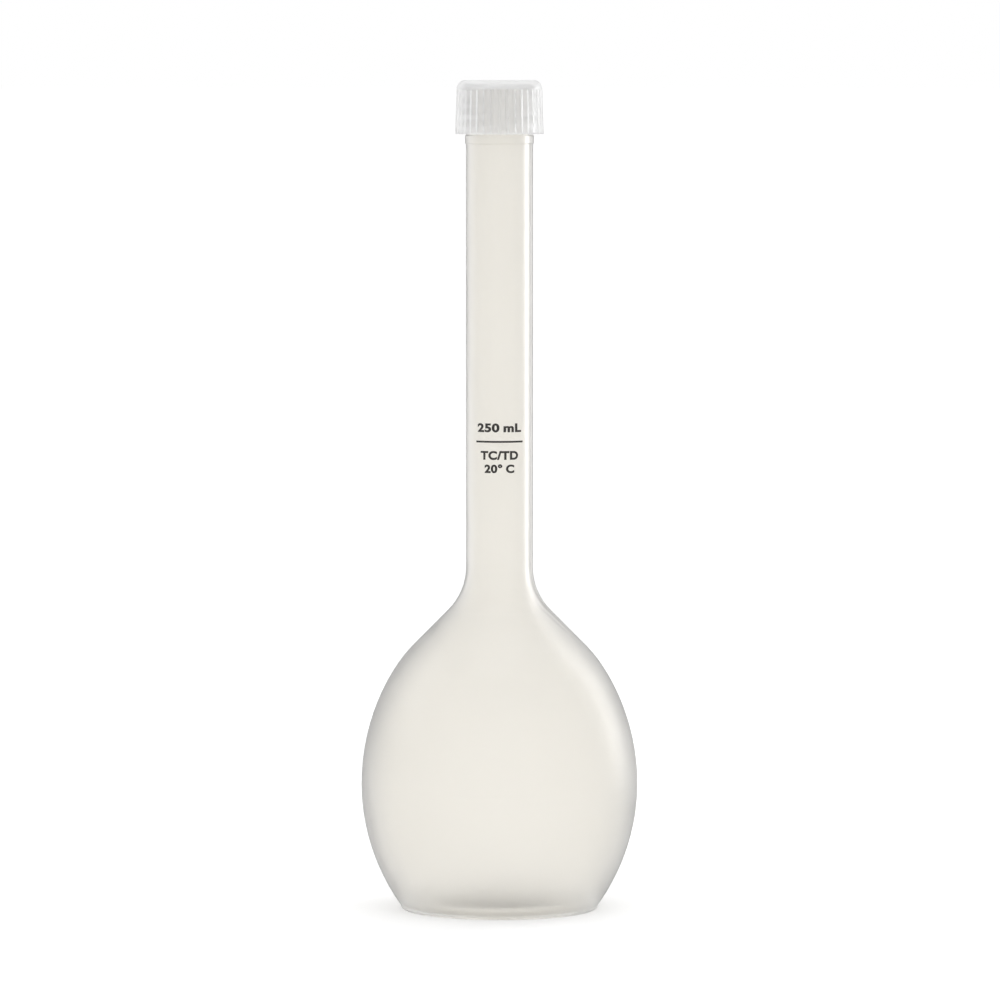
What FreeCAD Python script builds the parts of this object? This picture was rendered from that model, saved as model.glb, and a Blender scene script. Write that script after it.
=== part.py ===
import FreeCAD, Part
import math
import os

import Sketcher

# A 250 mL plastic volumetric flask with a screw cap and a sealing disc.
# The origin is the middle of the face it stands on, +Z is up and lengths are in millimetres.

# Driving sizes: name, value, and what it measures.
SIZES = (
    ("bulb_diameter", 75.5, "outside of the bulb at its widest"),
    ("bulb_height", 34.3, "height of the bulb's widest place"),
    ("side_curve", 59.2, "radius of the bulb's side above its widest place"),
    ("side_slope", 31.6, "angle to the vertical at which the side turns into the shoulder, in degrees"),
    ("shoulder_curve", 39.4, "radius of the bulb's shoulder"),
    ("shoulder_slope", 44.8, "angle of the straight upper shoulder to the vertical, in degrees"),
    ("neck_root", 16.7, "radius between shoulder and neck"),
    ("neck_diameter", 18.25, "outside of the neck"),
    ("rim_height", 223.7, "height of the neck's rim"),
    ("rim_bevel", 0.35, "bevel of the rim's two edges"),
    ("wall", 1.45, "thickness of the blown wall"),
    ("foot_diameter", 54.2, "outside of the foot"),
    ("foot_band", 1.0, "height of the upright band round the foot"),
    ("heel_bevel", 0.5, "bevel under the foot band"),
    ("foot_ring", 3.0, "width of the ring that the flask stands on"),
    ("push_up", 1.6, "rise of the base inside the ring"),
    ("recess_slope", 45.0, "slope of the step from the ring up to the base, in degrees"),
    ("bead_diameter", 18.7, "outside of the bead under the cap"),
    ("bead_width", 2.4, "height of the bead"),
    ("bead_gap", 0.3, "gap between the closed cap and the bead"),
    ("bead_bevel", 0.15, "bevel of the bead's edges"),
    ("thread_lead", 3.175, "rise of both threads in one turn"),
    ("thread_depth", 0.95, "height of the neck's thread above the neck"),
    ("thread_root", 1.9, "width of the neck's thread at its foot"),
    ("thread_crest", 1.0, "width of the neck's thread at its crest"),
    ("thread_turns", 2.5, "turns of the neck's thread"),
    ("thread_drop", 1.56, "drop from the rim to the middle of the thread's upper end"),
    ("thread_clearance", 0.2, "radial clearance of each crest"),
    ("thread_play", 0.25, "axial clearance of the loaded flanks"),
    ("thread_sink", 0.3, "how far a thread's foot is sunk into its wall"),
    ("cap_thread_root", 1.3, "width of the cap's thread at its foot"),
    ("cap_thread_crest", 0.6, "width of the cap's thread at its crest"),
    ("cap_thread_turns", 2.0, "turns of the cap's thread"),
    ("cap_top", 1.4, "thickness of the cap's top"),
    ("cap_wall", 1.4, "thickness of the skirt at its upper end, grips included"),
    ("cap_draft", 1.9, "slope of the skirt's outside, in degrees"),
    ("cap_shoulder", 2.5, "radius between the cap's top and its skirt"),
    ("skirt_margin", 0.4, "skirt below the cap's thread"),
    ("skirt_lead_in", 0.4, "bevel inside the skirt's end"),
    ("grip_count", 36, "grooves round the skirt"),
    ("grip_depth", 0.35, "depth of a groove"),
    ("grip_width", 1.0, "width of a groove at the skirt's outside"),
    ("grip_floor", 0.4, "width of a groove's flat bottom"),
    ("grip_margin", 0.1, "distance of the grooves' upper ends from the rounded shoulder"),
    ("seal_thickness", 1.2, "thickness of the sealing disc"),
    ("seal_clearance", 0.1, "radial clearance of the disc in the cap"),
)

# Sizes that several features share, written for the sheet.
NECK_RADIUS = "Sizes.neck_diameter / 2"
FOOT_RADIUS = "Sizes.foot_diameter / 2"
BULB_RADIUS = "Sizes.bulb_diameter / 2"
FOOT_CURVE = (
    "(Sizes.bulb_diameter - Sizes.foot_diameter) / 4"
    " + (Sizes.bulb_height - Sizes.foot_band) ^ 2 / (Sizes.bulb_diameter - Sizes.foot_diameter)"
)
RING_RADIUS = f"{FOOT_RADIUS} - Sizes.heel_bevel - Sizes.foot_ring"
INNER_RING_RADIUS = f"{RING_RADIUS} + Sizes.wall * tan(Sizes.recess_slope / 2 * 1 deg)"
CREST_RADIUS = f"{NECK_RADIUS} + Sizes.thread_depth"
BORE_RADIUS = f"{CREST_RADIUS} + Sizes.thread_clearance"
THREAD_START = "Sizes.rim_height - Sizes.thread_drop - Sizes.thread_turns * Sizes.thread_lead"
THREAD_OFFSET = "Sizes.thread_root / 2 + Sizes.cap_thread_crest / 2 + Sizes.thread_play"
CAP_THREAD_START = f"{THREAD_START} - ({THREAD_OFFSET})"
SKIRT_END = f"{CAP_THREAD_START} - Sizes.cap_thread_root / 2 - Sizes.skirt_margin"
SEAL_RADIUS = f"{BORE_RADIUS} - Sizes.seal_clearance"
BEAD_TOP = f"{SKIRT_END} - Sizes.bead_gap"
SKIRT_DEPTH = f"Sizes.rim_height + Sizes.seal_thickness - ({SKIRT_END})"
CAP_HEIGHT = f"{SKIRT_DEPTH} + Sizes.cap_top"
GRIP_MOUTH = "2 * Sizes.grip_width - Sizes.grip_floor"
SKIRT_RADIUS = (
    f"{BORE_RADIUS} + Sizes.cap_wall"
    f" + ({CAP_HEIGHT} - Sizes.cap_shoulder) * tan(Sizes.cap_draft * 1 deg)"
)

# How near two heights or radii count as the same.
TOUCH = 1e-4

doc = FreeCAD.newDocument("volumetric_flask")
sheet = doc.addObject("Spreadsheet::Sheet", "Sizes")
for row, (name, number, meaning) in enumerate(SIZES, start=1):
    sheet.set(f"A{row}", meaning)
    sheet.set(f"B{row}", str(number))
    sheet.setAlias(f"B{row}", name)
doc.recompute()


def value(text):
    """The number that an expression gives."""
    return float(sheet.evalExpression(text))


def new_body(label):
    body = doc.addObject("PartDesign::Body", label)
    body.Label = label
    return body


def add_sketch(body, role, name):
    """An empty sketch on one of the body's own origin planes."""
    sketch = body.newObject("Sketcher::SketchObject", name)
    plane = next(feature for feature in body.Origin.OriginFeatures if feature.Role == role)
    sketch.AttachmentSupport = (plane, [""])
    sketch.MapMode = "FlatFace"
    return sketch


def line(start, end):
    return Part.LineSegment(FreeCAD.Vector(*start, 0), FreeCAD.Vector(*end, 0))


def arc(centre, radius, first, last):
    """A counter-clockwise arc between two angles in degrees."""
    circle = Part.Circle(FreeCAD.Vector(*centre, 0), FreeCAD.Vector(0, 0, 1), radius)
    return Part.ArcOfCircle(circle, math.radians(first), math.radians(last))


def join(sketch, one, other, kind):
    """Ties the nearest ends of two edges, and makes them run smoothly where kind is Tangent."""
    pairs = [(a, b) for a in (1, 2) for b in (1, 2)]

    def gap(pair):
        return (sketch.getPoint(one, pair[0]) - sketch.getPoint(other, pair[1])).Length

    a, b = min(pairs, key=gap)
    sketch.addConstraint(Sketcher.Constraint(kind, one, a, other, b))


def trace(sketch, edges, smooth):
    """Adds named edges as one closed outline. smooth holds the pairs that meet smoothly."""
    names = list(edges)
    ids = {name: sketch.addGeometry(edge, False) for name, edge in edges.items()}
    for one, other in zip(names, names[1:] + names[:1]):
        kind = "Tangent" if (one, other) in smooth else "Coincident"
        join(sketch, ids[one], ids[other], kind)
    return ids


def bind(sketch, name, text, kind, *where):
    """Adds a named dimension that follows the sheet."""
    number = value(text)
    if kind == "Angle":
        number = math.radians(number)
    index = sketch.addConstraint(Sketcher.Constraint(kind, *where, number))
    sketch.renameConstraint(index, name)
    sketch.setExpression(f"Constraints.{name}", text)


def fix(sketch, kind, *where):
    sketch.addConstraint(Sketcher.Constraint(kind, *where))


def turn(body, kind, sketch, name):
    """Revolves a sketch round its upright axis, to add to the body or to cut it."""
    feature = body.newObject(kind, name)
    feature.Profile = sketch
    feature.ReferenceAxis = (sketch, ["V_Axis"])
    feature.Angle = 360
    return feature


def wall_edges(deep, start_height, top):
    """The wall's long edges from the foot to the top of the neck, at a depth under its outside."""
    bulb = value(BULB_RADIUS)
    height = value("Sizes.bulb_height")
    low = value(FOOT_CURVE)
    side = value("Sizes.side_curve")
    high = value("Sizes.shoulder_curve")
    turn_angle = value("Sizes.side_slope")
    slope = value("Sizes.shoulder_slope")
    root = value("Sizes.neck_root")
    neck = value(NECK_RADIUS)
    turn_cosine, turn_sine = math.cos(math.radians(turn_angle)), math.sin(math.radians(turn_angle))
    cosine, sine = math.cos(math.radians(slope)), math.sin(math.radians(slope))
    high_x = bulb - side + (side - high) * turn_cosine
    high_z = height + (side - high) * turn_sine
    root_z = high_z + (high + root - (neck + root - high_x) * cosine) / sine
    foot_angle = math.degrees(math.asin((height - start_height) / (low - deep)))
    shoulder_low = (high_x + (high - deep) * cosine, high_z + (high - deep) * sine)
    shoulder_top = (neck + root - (root + deep) * cosine, root_z - (root + deep) * sine)
    return {
        "foot_curve": arc((bulb - low, height), low - deep, -foot_angle, 0),
        "side_curve": arc((bulb - side, height), side - deep, 0, turn_angle),
        "shoulder_curve": arc((high_x, high_z), high - deep, turn_angle, slope),
        "shoulder": line(shoulder_low, shoulder_top),
        "neck_root": arc((neck + root, root_z), root + deep, 180, 180 + slope),
        "neck": line((neck - deep, root_z), (neck - deep, top)),
    }


WALL_SMOOTH = {
    ("foot_curve", "side_curve"),
    ("side_curve", "shoulder_curve"),
    ("shoulder_curve", "shoulder"),
    ("shoulder", "neck_root"),
    ("neck_root", "neck"),
}


def bind_wall(sketch, ids, deep):
    """The dimensions of the edges from wall_edges, at a depth written for the sheet."""
    foot, side, neck = ids["foot_curve"], ids["side_curve"], ids["neck"]
    side_top = f"Sizes.bulb_height + (Sizes.side_curve - {deep}) * sin(Sizes.side_slope * 1 deg)"
    fix(sketch, "Vertical", neck)
    fix(sketch, "Horizontal", foot, 3, foot, 2)
    bind(sketch, "bulb_height", "Sizes.bulb_height", "DistanceY", -1, 1, foot, 2)
    bind(sketch, "bulb_radius", f"{BULB_RADIUS} - {deep}", "DistanceX", -1, 1, foot, 2)
    bind(sketch, "foot_curve", f"{FOOT_CURVE} - {deep}", "Radius", foot)
    bind(sketch, "side_curve", f"Sizes.side_curve - {deep}", "Radius", side)
    bind(sketch, "side_top", side_top, "DistanceY", -1, 1, side, 2)
    bind(sketch, "shoulder_curve", f"Sizes.shoulder_curve - {deep}", "Radius", ids["shoulder_curve"])
    bind(sketch, "shoulder_slope", "90 + Sizes.shoulder_slope", "Angle", ids["shoulder"])
    bind(sketch, "neck_root", f"Sizes.neck_root + {deep}", "Radius", ids["neck_root"])
    bind(sketch, "neck_radius", f"{NECK_RADIUS} - {deep}", "DistanceX", -1, 1, neck, 1)


def base_edges(ring, low, rise):
    """The raised base and the step from it down to the ring."""
    run = rise / math.tan(math.radians(value("Sizes.recess_slope")))
    return {
        "base": line((0, low + rise), (ring - run, low + rise)),
        "recess": line((ring - run, low + rise), (ring, low)),
    }


def bind_base(sketch, ids, ring, rise):
    """The dimensions of the raised base, inside or outside."""
    fix(sketch, "PointOnObject", ids["axis"], 1, -2)
    fix(sketch, "PointOnObject", ids["axis"], 2, -2)
    fix(sketch, "Horizontal", ids["base"])
    fix(sketch, "Horizontal", ids["ring"])
    bind(sketch, "recess_slope", "-Sizes.recess_slope", "Angle", ids["recess"])
    bind(sketch, "ring_radius", ring, "DistanceX", -1, 1, ids["ring"], 1)
    bind(sketch, "base_height", rise, "DistanceY", -1, 1, ids["base"], 1)


def draw_outside(sketch):
    """The flask's outside: base, foot, bulb, shoulder and neck."""
    foot = value(FOOT_RADIUS)
    band = value("Sizes.foot_band")
    heel = value("Sizes.heel_bevel")
    ring = value(RING_RADIUS)
    rise = value("Sizes.push_up")
    rim = value("Sizes.rim_height")
    edges = base_edges(ring, 0, rise)
    edges["ring"] = line((ring, 0), (foot - heel, 0))
    edges["heel"] = line((foot - heel, 0), (foot, heel))
    edges["band"] = line((foot, heel), (foot, band))
    edges.update(wall_edges(0, band, rim))
    edges["rim"] = line((value(NECK_RADIUS), rim), (0, rim))
    edges["axis"] = line((0, rim), (0, rise))
    ids = trace(sketch, edges, WALL_SMOOTH)
    bind_wall(sketch, ids, "0")
    bind_base(sketch, ids, RING_RADIUS, "Sizes.push_up")
    fix(sketch, "PointOnObject", ids["ring"], 1, -1)
    fix(sketch, "Vertical", ids["band"])
    fix(sketch, "Horizontal", ids["rim"])
    bind(sketch, "heel_height", "Sizes.heel_bevel", "DistanceY", -1, 1, ids["heel"], 2)
    bind(sketch, "heel_width", "Sizes.heel_bevel", "DistanceX", ids["heel"], 1, ids["heel"], 2)
    bind(sketch, "foot_radius", FOOT_RADIUS, "DistanceX", -1, 1, ids["band"], 1)
    bind(sketch, "rim_height", "Sizes.rim_height", "DistanceY", -1, 1, ids["rim"], 1)


def draw_inside(sketch):
    """The space inside the flask, one wall thickness under its outside."""
    deep = value("Sizes.wall")
    ring = value(INNER_RING_RADIUS)
    rise = value("Sizes.push_up")
    rim = value("Sizes.rim_height")
    low = value(FOOT_CURVE)
    reach = math.sqrt((low - deep) ** 2 - (value("Sizes.bulb_height") - deep) ** 2)
    edges = base_edges(ring, deep, rise)
    edges["ring"] = line((ring, deep), (value(BULB_RADIUS) - low + reach, deep))
    edges.update(wall_edges(deep, deep, rim))
    edges["mouth"] = line((value(NECK_RADIUS) - deep, rim), (0, rim))
    edges["axis"] = line((0, rim), (0, rise + deep))
    ids = trace(sketch, edges, WALL_SMOOTH)
    bind_wall(sketch, ids, "Sizes.wall")
    bind_base(sketch, ids, INNER_RING_RADIUS, "Sizes.push_up + Sizes.wall")
    fix(sketch, "Horizontal", ids["mouth"])
    bind(sketch, "floor_height", "Sizes.wall", "DistanceY", -1, 1, ids["ring"], 1)
    bind(sketch, "rim_height", "Sizes.rim_height", "DistanceY", -1, 1, ids["mouth"], 1)


def draw_bead(sketch):
    """The flat bead round the neck, sunk half a wall into it."""
    inner = value(f"{NECK_RADIUS} - Sizes.wall / 2")
    outer = value("Sizes.bead_diameter / 2")
    top = value(BEAD_TOP)
    bottom = top - value("Sizes.bead_width")
    edges = {
        "bottom": line((inner, bottom), (outer, bottom)),
        "outside": line((outer, bottom), (outer, top)),
        "top": line((outer, top), (inner, top)),
        "inside": line((inner, top), (inner, bottom)),
    }
    ids = trace(sketch, edges, set())
    fix(sketch, "Horizontal", ids["bottom"])
    fix(sketch, "Horizontal", ids["top"])
    fix(sketch, "Vertical", ids["outside"])
    fix(sketch, "Vertical", ids["inside"])
    bind(sketch, "foot_radius", f"{NECK_RADIUS} - Sizes.wall / 2", "DistanceX", -1, 1, ids["bottom"], 1)
    bind(sketch, "bead_radius", "Sizes.bead_diameter / 2", "DistanceX", -1, 1, ids["bottom"], 2)
    bind(sketch, "bead_top", BEAD_TOP, "DistanceY", -1, 1, ids["top"], 1)
    bind(sketch, "bead_width", "Sizes.bead_width", "DistanceY", ids["outside"], 1, ids["outside"], 2)


def draw_thread(sketch, foot, crest, height, foot_width, crest_width):
    """A thread's section on the far left, from the radius of its foot to that of its crest."""
    inner, outer = -value(foot), -value(crest)
    middle = value(height)
    half_foot = value(foot_width) / 2
    half_crest = value(crest_width) / 2
    edges = {
        "foot": line((inner, middle - half_foot), (inner, middle + half_foot)),
        "upper": line((inner, middle + half_foot), (outer, middle + half_crest)),
        "crest": line((outer, middle + half_crest), (outer, middle - half_crest)),
        "lower": line((outer, middle - half_crest), (inner, middle - half_foot)),
    }
    ids = trace(sketch, edges, set())
    fix(sketch, "Vertical", ids["foot"])
    fix(sketch, "Vertical", ids["crest"])
    low_foot = f"{height} - ({foot_width}) / 2"
    low_crest = f"{height} - ({crest_width}) / 2"
    bind(sketch, "foot_radius", foot, "DistanceX", ids["foot"], 1, -1, 1)
    bind(sketch, "crest_radius", crest, "DistanceX", ids["crest"], 1, -1, 1)
    bind(sketch, "foot_height", low_foot, "DistanceY", -1, 1, ids["foot"], 1)
    bind(sketch, "foot_width", foot_width, "DistanceY", ids["foot"], 1, ids["foot"], 2)
    bind(sketch, "crest_height", low_crest, "DistanceY", -1, 1, ids["crest"], 2)
    bind(sketch, "crest_width", crest_width, "DistanceY", ids["crest"], 2, ids["crest"], 1)


def wind(body, sketch, name, turns):
    """Winds a thread's section upward as a right-hand screw."""
    feature = body.newObject("PartDesign::AdditiveHelix", name)
    feature.Profile = sketch
    feature.ReferenceAxis = (sketch, ["V_Axis"])
    feature.Mode = "pitch-turns-angle"
    feature.Angle = 0
    feature.LeftHanded = False
    feature.Reversed = False
    feature.Pitch = value("Sizes.thread_lead")
    feature.Turns = value(turns)
    feature.setExpression("Pitch", "Sizes.thread_lead")
    feature.setExpression("Turns", turns)
    return feature


def draw_cap(sketch):
    """Half of the cap's section, from the skirt's end at height 0 to the top."""
    bore = value(BORE_RADIUS)
    depth = value(SKIRT_DEPTH)
    height = value(CAP_HEIGHT)
    bevel = value("Sizes.skirt_lead_in")
    shoulder = value("Sizes.cap_shoulder")
    draft = value("Sizes.cap_draft")
    cosine, sine = math.cos(math.radians(draft)), math.sin(math.radians(draft))
    crest = bore + value("Sizes.cap_wall")
    shoulder_x = crest - shoulder * cosine
    crest_z = height - shoulder + shoulder * sine
    skirt_end = crest + crest_z * sine / cosine
    edges = {
        "end": line((bore + bevel, 0), (skirt_end, 0)),
        "skirt": line((skirt_end, 0), (crest, crest_z)),
        "shoulder": arc((shoulder_x, height - shoulder), shoulder, draft, 90),
        "top": line((shoulder_x, height), (0, height)),
        "axis": line((0, height), (0, depth)),
        "underside": line((0, depth), (bore, depth)),
        "bore": line((bore, depth), (bore, bevel)),
        "lead_in": line((bore, bevel), (bore + bevel, 0)),
    }
    ids = trace(sketch, edges, {("skirt", "shoulder"), ("shoulder", "top")})
    fix(sketch, "PointOnObject", ids["end"], 1, -1)
    fix(sketch, "Horizontal", ids["end"])
    fix(sketch, "Horizontal", ids["top"])
    fix(sketch, "PointOnObject", ids["axis"], 1, -2)
    fix(sketch, "PointOnObject", ids["axis"], 2, -2)
    fix(sketch, "Horizontal", ids["underside"])
    fix(sketch, "Vertical", ids["bore"])
    bind(sketch, "bore_radius", BORE_RADIUS, "DistanceX", -1, 1, ids["bore"], 1)
    bind(sketch, "crest_radius", f"{BORE_RADIUS} + Sizes.cap_wall", "DistanceX", -1, 1, ids["skirt"], 2)
    bind(sketch, "draft", "90 + Sizes.cap_draft", "Angle", ids["skirt"])
    bind(sketch, "shoulder_radius", "Sizes.cap_shoulder", "Radius", ids["shoulder"])
    bind(sketch, "skirt_depth", SKIRT_DEPTH, "DistanceY", -1, 1, ids["bore"], 1)
    bind(sketch, "cap_height", CAP_HEIGHT, "DistanceY", -1, 1, ids["top"], 2)
    bind(sketch, "lead_in_height", "Sizes.skirt_lead_in", "DistanceY", -1, 1, ids["bore"], 2)
    bind(sketch, "lead_in_width", "Sizes.skirt_lead_in", "DistanceX", ids["bore"], 2, ids["end"], 1)


def draw_grip(sketch):
    """A groove's section, drawn on past the skirt's outside by the groove's own depth."""
    floor = f"{SKIRT_RADIUS} - Sizes.grip_depth"
    mouth = f"{SKIRT_RADIUS} + Sizes.grip_depth"
    inner, outer = value(floor), value(mouth)
    half_floor = value("Sizes.grip_floor") / 2
    half_mouth = value(GRIP_MOUTH) / 2
    edges = {
        "lower": line((inner, -half_floor), (outer, -half_mouth)),
        "mouth": line((outer, -half_mouth), (outer, half_mouth)),
        "upper": line((outer, half_mouth), (inner, half_floor)),
        "floor": line((inner, half_floor), (inner, -half_floor)),
    }
    ids = trace(sketch, edges, set())
    fix(sketch, "Vertical", ids["mouth"])
    fix(sketch, "Vertical", ids["floor"])
    bind(sketch, "floor_radius", floor, "DistanceX", -1, 1, ids["floor"], 1)
    bind(sketch, "mouth_radius", mouth, "DistanceX", -1, 1, ids["mouth"], 1)
    bind(sketch, "floor_half", "Sizes.grip_floor / 2", "DistanceY", -1, 1, ids["floor"], 1)
    bind(sketch, "floor_width", "Sizes.grip_floor", "DistanceY", ids["floor"], 2, ids["floor"], 1)
    bind(sketch, "mouth_half", f"({GRIP_MOUTH}) / 2", "DistanceY", -1, 1, ids["mouth"], 2)
    bind(sketch, "mouth_width", GRIP_MOUTH, "DistanceY", ids["mouth"], 1, ids["mouth"], 2)


def circles_at(feature, height_text, radius_text):
    """The names of a feature's full circles of one radius at one height."""
    height, radius = value(height_text), value(radius_text)
    names = []
    for number, edge in enumerate(feature.Shape.Edges, start=1):
        box = edge.BoundBox
        level = abs(box.ZMin - height) < TOUCH and abs(box.ZMax - height) < TOUCH
        if level and abs(box.XLength / 2 - radius) < TOUCH:
            names.append(f"Edge{number}")
    return names


def bevel(body, base, edges, name):
    """Bevels edges of a feature by the size of the same name."""
    feature = body.newObject("PartDesign::Chamfer", name)
    feature.Base = (base, edges)
    feature.setExpression("Size", f"Sizes.{name}")
    doc.recompute()
    return feature


# The flask is blown in one piece: a solid outline, a bead and a thread, and then the space inside.
flask = new_body("flask")
outside = add_sketch(flask, "XZ_Plane", "outside")
draw_outside(outside)
turn(flask, "PartDesign::Revolution", outside, "blown_form")

bead_section = add_sketch(flask, "XZ_Plane", "bead_section")
draw_bead(bead_section)
turn(flask, "PartDesign::Revolution", bead_section, "bead")

thread_section = add_sketch(flask, "XZ_Plane", "thread_section")
draw_thread(
    thread_section,
    f"{NECK_RADIUS} - Sizes.thread_sink",
    CREST_RADIUS,
    THREAD_START,
    "Sizes.thread_root",
    "Sizes.thread_crest",
)
wind(flask, thread_section, "neck_thread", "Sizes.thread_turns")

inside = add_sketch(flask, "XZ_Plane", "inside")
draw_inside(inside)
hollow = turn(flask, "PartDesign::Groove", inside, "hollow")
doc.recompute()

# The rim and the bead are bevelled inside and outside, above and below.
outer_rim = circles_at(hollow, "Sizes.rim_height", NECK_RADIUS)
inner_rim = circles_at(hollow, "Sizes.rim_height", f"{NECK_RADIUS} - Sizes.wall")
rim = bevel(flask, hollow, outer_rim + inner_rim, "rim_bevel")

upper_bead = circles_at(rim, BEAD_TOP, "Sizes.bead_diameter / 2")
lower_bead = circles_at(rim, f"{BEAD_TOP} - Sizes.bead_width", "Sizes.bead_diameter / 2")
bevel(flask, rim, upper_bead + lower_bead, "bead_bevel")

# The cap is moulded in one piece. It is drawn on its own skirt's end and then lifted to the neck.
cap = new_body("screw_cap")
cap_section = add_sketch(cap, "XZ_Plane", "cap_section")
draw_cap(cap_section)
cap_form = turn(cap, "PartDesign::Revolution", cap_section, "cap_form")

# A groove leans in with the skirt and ends under the rounded shoulder.
grip_section = add_sketch(cap, "XY_Plane", "grip_section")
draw_grip(grip_section)
grip = cap.newObject("PartDesign::Pocket", "grip")
grip.Profile = grip_section
grip.UseCustomVector = True
grip.setExpression("Direction.x", "-sin(Sizes.cap_draft * 1 deg)")
grip.setExpression("Direction.y", "0")
grip.setExpression("Direction.z", "cos(Sizes.cap_draft * 1 deg)")
grip.setExpression("Length", f"{CAP_HEIGHT} - Sizes.cap_shoulder - Sizes.grip_margin")
doc.recompute()

grips = cap.newObject("PartDesign::PolarPattern", "grips")
grips.Originals = [grip]
grips.Axis = (grip_section, ["N_Axis"])
grips.Angle = 360
grips.Occurrences = round(value("Sizes.grip_count"))
grips.setExpression("Occurrences", "Sizes.grip_count")
cap.Tip = grips
doc.recompute()

cap_thread_section = add_sketch(cap, "XZ_Plane", "cap_thread_section")
draw_thread(
    cap_thread_section,
    f"{BORE_RADIUS} + Sizes.thread_sink",
    f"{NECK_RADIUS} + Sizes.thread_clearance",
    "Sizes.skirt_margin + Sizes.cap_thread_root / 2",
    "Sizes.cap_thread_root",
    "Sizes.cap_thread_crest",
)
wind(cap, cap_thread_section, "cap_thread", "Sizes.cap_thread_turns")
cap.setExpression("Placement.Base.z", SKIRT_END)

# The disc lies loose in the cap, between its underside and the rim.
seal = new_body("seal_disc")
seal_section = add_sketch(seal, "XY_Plane", "seal_section")
round_edge = Part.Circle(FreeCAD.Vector(), FreeCAD.Vector(0, 0, 1), value(SEAL_RADIUS))
seal_edge = seal_section.addGeometry(round_edge, False)
fix(seal_section, "Coincident", seal_edge, 3, -1, 1)
bind(seal_section, "seal_radius", SEAL_RADIUS, "Radius", seal_edge)
disc = seal.newObject("PartDesign::Pad", "disc")
disc.Profile = seal_section
disc.setExpression("Length", "Sizes.seal_thickness")
seal.setExpression("Placement.Base.z", "Sizes.rim_height")
doc.recompute()

faults = [item.Name for item in doc.Objects if {"Invalid", "Error"} & set(item.State)]
for body in (flask, cap, seal):
    if body.Shape.isNull() or not body.Shape.isValid() or len(body.Shape.Solids) != 1:
        faults.append(body.Label)
if grip.Shape.Volume >= cap_form.Shape.Volume:
    faults.append(grip.Name)
if faults:
    raise SystemExit("Features that failed: " + ", ".join(faults))

os.makedirs("parts", exist_ok=True)
for body in (flask, cap, seal):
    body.Shape.exportStep(f"parts/{body.Label}.step")
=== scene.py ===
import math

import bpy
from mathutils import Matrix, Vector


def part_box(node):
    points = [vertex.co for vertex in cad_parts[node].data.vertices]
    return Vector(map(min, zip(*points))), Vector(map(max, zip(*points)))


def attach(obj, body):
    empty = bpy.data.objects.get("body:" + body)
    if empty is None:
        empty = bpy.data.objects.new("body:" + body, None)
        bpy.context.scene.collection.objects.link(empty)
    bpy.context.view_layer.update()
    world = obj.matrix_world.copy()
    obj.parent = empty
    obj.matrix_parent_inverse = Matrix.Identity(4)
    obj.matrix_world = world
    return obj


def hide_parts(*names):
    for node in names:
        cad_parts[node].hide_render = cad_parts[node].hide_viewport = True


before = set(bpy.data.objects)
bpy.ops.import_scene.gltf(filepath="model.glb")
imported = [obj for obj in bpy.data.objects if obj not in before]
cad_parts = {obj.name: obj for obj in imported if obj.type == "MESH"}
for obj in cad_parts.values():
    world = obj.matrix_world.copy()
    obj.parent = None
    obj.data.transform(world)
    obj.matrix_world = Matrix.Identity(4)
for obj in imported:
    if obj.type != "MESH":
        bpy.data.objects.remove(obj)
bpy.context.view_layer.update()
bpy.ops.object.select_all(action="DESELECT")

# Camera: level with the cap's top, far off and with a long lens, as in the photograph. The flask's
# axis falls half a pixel left of the picture's middle. Light passes many walls on its way through
# flask and cap, so it may be bent and mirrored often.
CAMERA_HEIGHT = 0.226
CAMERA_DISTANCE = 1.718
AIM_HEIGHT = 0.1119
SENSOR_WIDTH = 36.0
LENS = 227.05
PICTURE_SHIFT = 0.0006
WALLS_PASSED = 32
MIRRORINGS = 16

bpy.ops.object.camera_add(
    location=(0, -CAMERA_DISTANCE, CAMERA_HEIGHT),
    rotation=(math.atan2(CAMERA_DISTANCE, CAMERA_HEIGHT - AIM_HEIGHT), 0, 0),
)
camera = bpy.context.object
camera.data.sensor_width = SENSOR_WIDTH
camera.data.lens = LENS
camera.data.shift_x = PICTURE_SHIFT
bpy.context.scene.camera = camera
bpy.context.scene.view_settings.view_transform = "Standard"
bpy.context.scene.cycles.max_bounces = WALLS_PASSED
bpy.context.scene.cycles.transmission_bounces = WALLS_PASSED
bpy.context.scene.cycles.glossy_bounces = MIRRORINGS

# Flask: blown in one piece from natural polypropylene, a milky plastic that lets light through.
# Its shape comes from the CAD. Here it gets the slightly uneven, satin surface of a blown wall, and
# its colour is painted lighter towards the foot, as painted light against the shade on the base.
MILK = (0.94, 0.922, 0.88, 1)
CREAM = (0.955, 0.937, 0.895, 1)
FOOT_PAINTED_LIGHT = (0.998, 0.984, 0.948, 1)
FOOT_RISE = 0.019
CLOUD_SCALE = 22.0
CLOUD_DETAIL = 2.0
COLOUR_CHANGES = (0.35, 0.65)
ROUGHNESS_CHANGES = (0.3, 0.7)
WALL_ROUGHNESS = (0.33, 0.39)
PEEL_SCALE = 420.0
PEEL_DETAIL = 2.0
PEEL_DEPTH = 0.00002
PLASTIC_IOR = 1.49
WALL_SHARE = 0.88
SMOOTH_EXIT = 0.05
WALL_SCATTER = 0.5
WALL_TINT = (1.0, 0.96, 0.88)
WALL_DEPTH = 0.004


def make_material(name):
    """A material with one Principled shader. Returns it, the shader, its nodes and link call."""
    material = bpy.data.materials.new(name)
    material.use_nodes = True
    tree = material.node_tree
    return material, tree.nodes["Principled BSDF"], tree.nodes, tree.links.new


def add_noise(nodes, link, place, scale, detail):
    """A cloudy pattern that stays on the piece."""
    noise = nodes.new("ShaderNodeTexNoise")
    noise.inputs["Scale"].default_value = scale
    noise.inputs["Detail"].default_value = detail
    link(place.outputs["Object"], noise.inputs["Vector"])
    return noise


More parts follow.
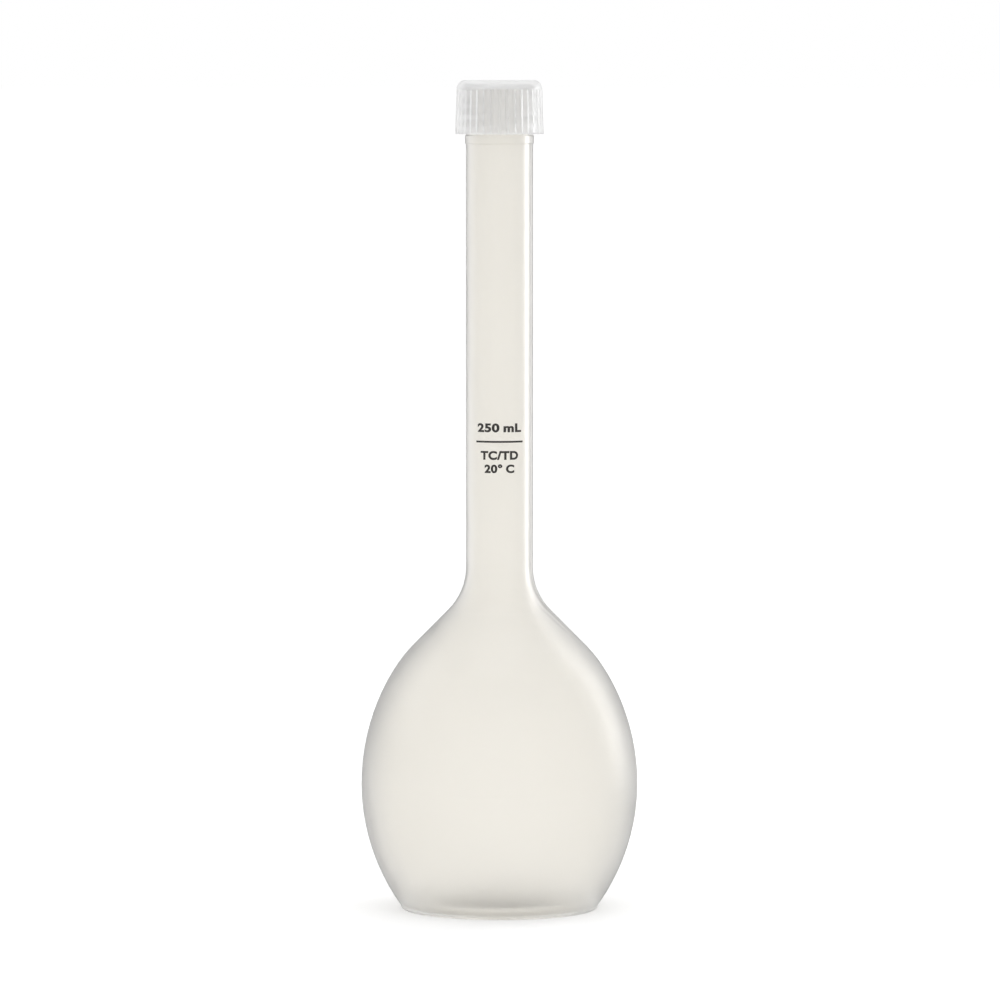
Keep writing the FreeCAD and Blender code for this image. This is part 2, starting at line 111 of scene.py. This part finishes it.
def blend_colours(nodes, link, factor, first, second):
    """A colour that goes from first to second with a noise's value."""
    ramp = nodes.new("ShaderNodeValToRGB")
    for stop, position, colour in zip(ramp.color_ramp.elements, COLOUR_CHANGES, (first, second)):
        stop.position = position
        stop.color = colour
    link(factor.outputs["Fac"], ramp.inputs["Fac"])
    return ramp


def spread(nodes, link, factor, limits):
    """A number that goes from the lower to the upper of two limits with a noise's value."""
    reach = nodes.new("ShaderNodeMapRange")
    reach.inputs["From Min"].default_value = ROUGHNESS_CHANGES[0]
    reach.inputs["From Max"].default_value = ROUGHNESS_CHANGES[1]
    reach.inputs["To Min"].default_value = limits[0]
    reach.inputs["To Max"].default_value = limits[1]
    link(factor.outputs["Fac"], reach.inputs["Value"])
    return reach


def add_bump(nodes, link, factor, depth, shader):
    """The fine unevenness of a moulded skin, too shallow to be modelled."""
    bump = nodes.new("ShaderNodeBump")
    bump.inputs["Distance"].default_value = depth
    link(factor.outputs["Fac"], bump.inputs["Height"])
    link(bump.outputs["Normal"], shader.inputs["Normal"])


def let_through(nodes, link, shader, share, rough):
    """Lets a share of the light into the wall, spread by the wall's roughness.

    Light that is in the wall gets out again whole, through a smooth face. The share is a number, or
    a node where it isn't the same all over the piece.
    """
    side = nodes.new("ShaderNodeNewGeometry")
    sockets = (
        ("Transmission Weight", share, 1.0),
        ("Roughness", rough, SMOOTH_EXIT),
    )
    for socket, outside, inside in sockets:
        way = nodes.new("ShaderNodeMapRange")
        way.inputs["To Max"].default_value = inside
        if isinstance(outside, float):
            way.inputs["To Min"].default_value = outside
        else:
            link(outside.outputs["Result"], way.inputs["To Min"])
        link(side.outputs["Backfacing"], way.inputs["Value"])
        link(way.outputs["Result"], shader.inputs[socket])


def scatter(shader, weight, tint, depth):
    """How the plastic scatters the light that it doesn't let through."""
    shader.inputs["Subsurface Weight"].default_value = weight
    shader.inputs["Subsurface Radius"].default_value = tint
    shader.inputs["Subsurface Scale"].default_value = depth


def colour_sockets(sockets):
    """The colour sockets of a Mix node, which share their names with its other sockets."""
    return [socket for socket in sockets if socket.type == "RGBA"]


def cover(piece, material):
    """Gives a piece that comes from the CAD its one material."""
    piece.data.materials.clear()
    piece.data.materials.append(material)


milky, shader, nodes, link = make_material("milky_polypropylene")
place = nodes.new("ShaderNodeTexCoord")
clouds = add_noise(nodes, link, place, CLOUD_SCALE, CLOUD_DETAIL)
colour = blend_colours(nodes, link, clouds, MILK, CREAM)
parts = nodes.new("ShaderNodeSeparateXYZ")
link(place.outputs["Object"], parts.inputs["Vector"])
# Painted light: the colour goes lighter towards the foot, in place of light on the shaded base.
painted_light_fade = nodes.new("ShaderNodeMapRange")
painted_light_fade.interpolation_type = "SMOOTHSTEP"
painted_light_fade.inputs["From Max"].default_value = FOOT_RISE
painted_light_fade.inputs["To Min"].default_value = 1.0
painted_light_fade.inputs["To Max"].default_value = 0.0
link(parts.outputs["Z"], painted_light_fade.inputs["Value"])
painted_foot_light = nodes.new("ShaderNodeMix")
painted_foot_light.data_type = "RGBA"
upper, lower = colour_sockets(painted_foot_light.inputs)
lower.default_value = FOOT_PAINTED_LIGHT
link(painted_light_fade.outputs["Result"], painted_foot_light.inputs["Factor"])
link(colour.outputs["Color"], upper)
link(colour_sockets(painted_foot_light.outputs)[0], shader.inputs["Base Color"])
rubbed = spread(nodes, link, clouds, WALL_ROUGHNESS)
peel = add_noise(nodes, link, place, PEEL_SCALE, PEEL_DETAIL)
add_bump(nodes, link, peel, PEEL_DEPTH, shader)
shader.inputs["IOR"].default_value = PLASTIC_IOR
let_through(nodes, link, shader, WALL_SHARE, rubbed)
scatter(shader, WALL_SCATTER, WALL_TINT, WALL_DEPTH)
cover(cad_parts["flask"], milky)

# Ring mark and lettering: black ink screened on the front of the neck, a film of a few hundredths
# of a millimetre. The mark shows how far to fill the flask, and the words give its volume and the
# temperature at which it holds.
NECK_RADIUS = 0.009125
INK_GAP = 0.00001
INK_THICKNESS = 0.00003
INK_STEP = 0.0004
CUT_REACH = 0.000002
FLAT_ANGLE = math.radians(0.5)
MARK_HEIGHT = 0.1283
MARK_SPREAD = math.radians(43.4)
MARK_WIDTH = 0.0005
# Name, words, height of their middle, width.
LETTERING = (
    ("volume", "250 mL", 0.1321, 0.0127),
    ("method", "TC/TD", 0.1246, 0.0107),
    ("temperature", "20° C", 0.1210, 0.0083),
)
LETTER_HEIGHT = 0.00244
LETTER_BOLDNESS = 0.044
LETTER_DEPTH = 0.5
LETTER_SPACING = 1.08
WORD_SPACING = 0.7
INK_BLACK = (0.012, 0.010, 0.009, 1)
INK_WORN = (0.03, 0.027, 0.024, 1)
INK_GRAIN = 900.0
INK_DETAIL = 3.0
INK_ROUGHNESS = (0.4, 0.6)


def wrap_on_neck(piece):
    """Cuts a flat film into narrow strips and lays it round the front of the neck."""
    reach = max(abs(vertex.co.x) for vertex in piece.data.vertices)
    bpy.context.view_layer.objects.active = piece
    piece.select_set(True)
    bpy.ops.object.mode_set(mode="EDIT")
    count = int(reach / INK_STEP)
    for number in range(-count, count + 1):
        cut = (number * INK_STEP, 0, 0)
        bpy.ops.mesh.select_all(action="SELECT")
        bpy.ops.mesh.bisect(plane_co=cut, plane_no=(1, 0, 0), threshold=CUT_REACH)
    bpy.ops.object.mode_set(mode="OBJECT")
    for vertex in piece.data.vertices:
        radius = NECK_RADIUS + INK_GAP - vertex.co.y
        turn = vertex.co.x / NECK_RADIUS
        vertex.co = (radius * math.sin(turn), -radius * math.cos(turn), vertex.co.z)
    piece.select_set(False)


ink, shader, nodes, link = make_material("black_ink")
place = nodes.new("ShaderNodeTexCoord")
grain = add_noise(nodes, link, place, INK_GRAIN, INK_DETAIL)
colour = blend_colours(nodes, link, grain, INK_BLACK, INK_WORN)
link(colour.outputs["Color"], shader.inputs["Base Color"])
dull = spread(nodes, link, grain, INK_ROUGHNESS)
link(dull.outputs["Result"], shader.inputs["Roughness"])

for name, words, height, width in LETTERING:
    bpy.ops.object.text_add(location=(0, 0, 0))
    letters = bpy.context.object
    letters.name = "print_" + name
    letters.data.body = words
    letters.data.align_x = "CENTER"
    letters.data.offset = LETTER_BOLDNESS
    letters.data.space_character = LETTER_SPACING
    letters.data.space_word = WORD_SPACING
    letters.data.extrude = LETTER_DEPTH
    bpy.ops.object.convert(target="MESH")
    corners = [vertex.co.copy() for vertex in letters.data.vertices]
    left, right = min(c.x for c in corners), max(c.x for c in corners)
    low, high = min(c.y for c in corners), max(c.y for c in corners)
    for vertex in letters.data.vertices:
        across = (vertex.co.x - (left + right) / 2) / (right - left) * width
        up = (vertex.co.y - (low + high) / 2) / (high - low) * LETTER_HEIGHT + height
        vertex.co = (across, -INK_THICKNESS if vertex.co.z > 0 else 0, up)
    bpy.ops.object.mode_set(mode="EDIT")
    bpy.ops.mesh.select_all(action="SELECT")
    bpy.ops.mesh.remove_doubles(threshold=CUT_REACH)
    bpy.ops.mesh.beautify_fill()
    bpy.ops.mesh.dissolve_limited(angle_limit=FLAT_ANGLE)
    bpy.ops.object.mode_set(mode="OBJECT")
    wrap_on_neck(letters)
    letters.data.materials.append(ink)
    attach(letters, "flask")

bpy.ops.mesh.primitive_cube_add(size=1)
mark = bpy.context.object
mark.name = "ring_mark"
for vertex in mark.data.vertices:
    across = 2 * vertex.co.x * MARK_SPREAD * NECK_RADIUS
    up = MARK_HEIGHT + vertex.co.z * MARK_WIDTH
    vertex.co = (across, -INK_THICKNESS if vertex.co.y < 0 else 0, up)
wrap_on_neck(mark)
mark.data.materials.append(ink)
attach(mark, "flask")

# Sealing disc: soft milky polyethylene, pressed between the cap's top and the rim of the neck.
# It is a little thinner than the space that it fills, so that its faces don't lie in theirs.
SEAL_GAP = 0.00004
SEAL_SIDES = 96
SEAL_EDGE = 0.00012
SEAL_EDGE_STEPS = 3
SEAL_SHARP = math.radians(40)
SEAL_MILK = (0.95, 0.95, 0.94, 1)
SEAL_WHITE = (0.98, 0.98, 0.97, 1)
SEAL_GRAIN = 900.0
SEAL_DETAIL = 2.0
SEAL_PEEL = 0.00002
SEAL_ROUGHNESS = (0.4, 0.5)
SEAL_SHARE = 0.8
SEAL_SCATTER = 1.0
SEAL_TINT = (1.0, 1.0, 1.0)
SEAL_DEPTH = 0.003

seal_low, seal_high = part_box("seal_disc")
seal_radius = (seal_high[0] - seal_low[0]) / 2
bpy.ops.mesh.primitive_cylinder_add(
    vertices=SEAL_SIDES,
    radius=seal_radius,
    depth=seal_high[2] - seal_low[2] - 2 * SEAL_GAP,
    location=(0, 0, (seal_low[2] + seal_high[2]) / 2),
)
seal = bpy.context.object
seal.name = "seal_liner"
bpy.ops.object.transform_apply(location=True, rotation=True, scale=True)
edge = seal.modifiers.new("edge", "BEVEL")
edge.width = SEAL_EDGE
edge.segments = SEAL_EDGE_STEPS
bpy.ops.object.modifier_apply(modifier="edge")
bpy.ops.object.shade_smooth_by_angle(angle=SEAL_SHARP)
seal.select_set(False)

liner, shader, nodes, link = make_material("soft_polyethylene")
place = nodes.new("ShaderNodeTexCoord")
grain = add_noise(nodes, link, place, SEAL_GRAIN, SEAL_DETAIL)
colour = blend_colours(nodes, link, grain, SEAL_MILK, SEAL_WHITE)
link(colour.outputs["Color"], shader.inputs["Base Color"])
add_bump(nodes, link, grain, SEAL_PEEL, shader)
rubbed = spread(nodes, link, grain, SEAL_ROUGHNESS)
shader.inputs["IOR"].default_value = PLASTIC_IOR
let_through(nodes, link, shader, SEAL_SHARE, rubbed)
scatter(shader, SEAL_SCATTER, SEAL_TINT, SEAL_DEPTH)
seal.data.materials.append(liner)
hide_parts("seal_disc")
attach(seal, "seal")

# Screw cap: moulded in one piece from polypropylene, clearer than the flask, with ribs for the
# fingers. Its gripped outside is milky and satin, and its inside, with the thread, came polished
# from the mould.
CAP_PALE = (0.975, 0.975, 0.975, 1)
CAP_WHITE = (0.99, 0.99, 0.99, 1)
CAP_CLOUD_SCALE = 60.0
CAP_CLOUD_DETAIL = 2.0
SKIRT_BORE = 0.0104
TOP_UNDERSIDE = 0.2253
GRIPPED_SHARE = 0.5
GRIPPED_ROUGHNESS = (0.29, 0.33)
POLISHED_SHARE = 1.0
POLISHED_ROUGHNESS = 0.08
CAP_SCATTER = 0.1
CAP_TINT = (1.0, 1.0, 1.0)
CAP_DEPTH = 0.004

clear, shader, nodes, link = make_material("clear_polypropylene")
place = nodes.new("ShaderNodeTexCoord")
clouds = add_noise(nodes, link, place, CAP_CLOUD_SCALE, CAP_CLOUD_DETAIL)
colour = blend_colours(nodes, link, clouds, CAP_PALE, CAP_WHITE)
link(colour.outputs["Color"], shader.inputs["Base Color"])
rubbed = spread(nodes, link, clouds, GRIPPED_ROUGHNESS)
shader.inputs["IOR"].default_value = PLASTIC_IOR
level = nodes.new("ShaderNodeVectorMath")
level.operation = "MULTIPLY"
level.inputs[1].default_value = (1, 1, 0)
link(place.outputs["Object"], level.inputs[0])
radius = nodes.new("ShaderNodeVectorMath")
radius.operation = "LENGTH"
link(level.outputs["Vector"], radius.inputs[0])
parts = nodes.new("ShaderNodeSeparateXYZ")
link(place.outputs["Object"], parts.inputs["Vector"])
# The outside is what lies beyond the skirt's bore or above the underside of the top.
outer = nodes.new("ShaderNodeMath")
outer.operation = "MAXIMUM"
borders = (
    (radius.outputs["Value"], SKIRT_BORE),
    (parts.outputs["Z"], TOP_UNDERSIDE),
)
for number, (measure, limit) in enumerate(borders):
    beyond = nodes.new("ShaderNodeMath")
    beyond.operation = "GREATER_THAN"
    beyond.inputs[1].default_value = limit
    link(measure, beyond.inputs[0])
    link(beyond.outputs["Value"], outer.inputs[number])
milkiness = nodes.new("ShaderNodeMapRange")
milkiness.inputs["To Min"].default_value = POLISHED_SHARE
milkiness.inputs["To Max"].default_value = GRIPPED_SHARE
link(outer.outputs["Value"], milkiness.inputs["Value"])
polish = nodes.new("ShaderNodeMapRange")
polish.inputs["To Min"].default_value = POLISHED_ROUGHNESS
link(rubbed.outputs["Result"], polish.inputs["To Max"])
link(outer.outputs["Value"], polish.inputs["Value"])
let_through(nodes, link, shader, milkiness, polish)
scatter(shader, CAP_SCATTER, CAP_TINT, CAP_DEPTH)
cover(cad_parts["screw_cap"], clear)

# Floor: a wide pale table top that runs on to the horizon.
# What the camera sees of it is lifted to white, and the flask's shadow stays on it.
FLOOR_SIZE = 400
FLOOR_PALE = (0.82, 0.82, 0.82, 1)
FLOOR_ROUGHNESS = 0.9
FLOOR_LIFT = 0.4


def add_sight(nodes, link):
    """One where a ray comes from the camera, a mirror or a see-through surface, else nought."""
    path = nodes.new("ShaderNodeLightPath")
    total = path.outputs["Is Camera Ray"]
    for ray in ("Is Glossy Ray", "Is Transmission Ray"):
        larger = nodes.new("ShaderNodeMath")
        larger.operation = "MAXIMUM"
        link(total, larger.inputs[0])
        link(path.outputs[ray], larger.inputs[1])
        total = larger.outputs["Value"]
    return total


bpy.ops.mesh.primitive_plane_add(size=FLOOR_SIZE)
floor = bpy.context.object
floor.name = "floor"
pale, shader, nodes, link = make_material("pale_floor")
shader.inputs["Base Color"].default_value = FLOOR_PALE
shader.inputs["Roughness"].default_value = FLOOR_ROUGHNESS
shader.inputs["Specular IOR Level"].default_value = 0.0
shader.inputs["Emission Color"].default_value = (1, 1, 1, 1)
lift = nodes.new("ShaderNodeMath")
lift.operation = "MULTIPLY"
lift.inputs[1].default_value = FLOOR_LIFT
link(add_sight(nodes, link), lift.inputs[0])
link(lift.outputs["Value"], shader.inputs["Emission Strength"])
floor.data.materials.append(pale)

# Studio: white walls before and behind the flask and dark ones at its sides, a strip light behind
# it on the right, and softboxes above and at the upper left. The camera, mirrors and see-through
# surfaces show white walls all round.
ROOM_LIGHT = 1.0
SIDE_LIGHT = 0.05
SIDE_WALLS = (0.35, 1.0)
SEEN_LIGHT = 1.0
BULB_MIDDLE = (0, 0, 0.1)
# Name, place, width and height in metres, power in watts.
LAMPS = (
    ("strip_behind_right", (0.85, 0.60, 0.45), 0.4, 1.1, 2.2),
    ("top", (0, -0.2, 1.5), 1.0, 1.0, 1.2),
    ("upper_left", (-0.95, 0.25, 0.7), 0.8, 0.8, 0.6),
)

world = bpy.context.scene.world or bpy.data.worlds.new("studio")
bpy.context.scene.world = world
world.use_nodes = True
nodes = world.node_tree.nodes
link = world.node_tree.links.new
nodes.clear()
out = nodes.new("ShaderNodeOutputWorld")
walls = nodes.new("ShaderNodeBackground")
walls.inputs["Color"].default_value = (1, 1, 1, 1)
direction = nodes.new("ShaderNodeTexCoord")
parts = nodes.new("ShaderNodeSeparateXYZ")
link(direction.outputs["Generated"], parts.inputs["Vector"])
sideways = nodes.new("ShaderNodeMath")
sideways.operation = "ABSOLUTE"
link(parts.outputs["X"], sideways.inputs[0])
room = nodes.new("ShaderNodeMapRange")
room.inputs["From Min"].default_value = SIDE_WALLS[0]
room.inputs["From Max"].default_value = SIDE_WALLS[1]
room.inputs["To Min"].default_value = ROOM_LIGHT
room.inputs["To Max"].default_value = SIDE_LIGHT
link(sideways.outputs["Value"], room.inputs["Value"])
seen = nodes.new("ShaderNodeMapRange")
seen.inputs["To Max"].default_value = SEEN_LIGHT
link(add_sight(nodes, link), seen.inputs["Value"])
link(room.outputs["Result"], seen.inputs["To Min"])
link(seen.outputs["Result"], walls.inputs["Strength"])
link(walls.outputs["Background"], out.inputs["Surface"])

for name, place, width, height, power in LAMPS:
    facing = Vector(BULB_MIDDLE) - Vector(place)
    turn = facing.to_track_quat("-Z", "Y").to_euler()
    bpy.ops.object.light_add(type="AREA", location=place, rotation=turn)
    lamp = bpy.context.object
    lamp.name = name
    lamp.data.shape = "RECTANGLE"
    lamp.data.size = width
    lamp.data.size_y = height
    lamp.data.energy = power
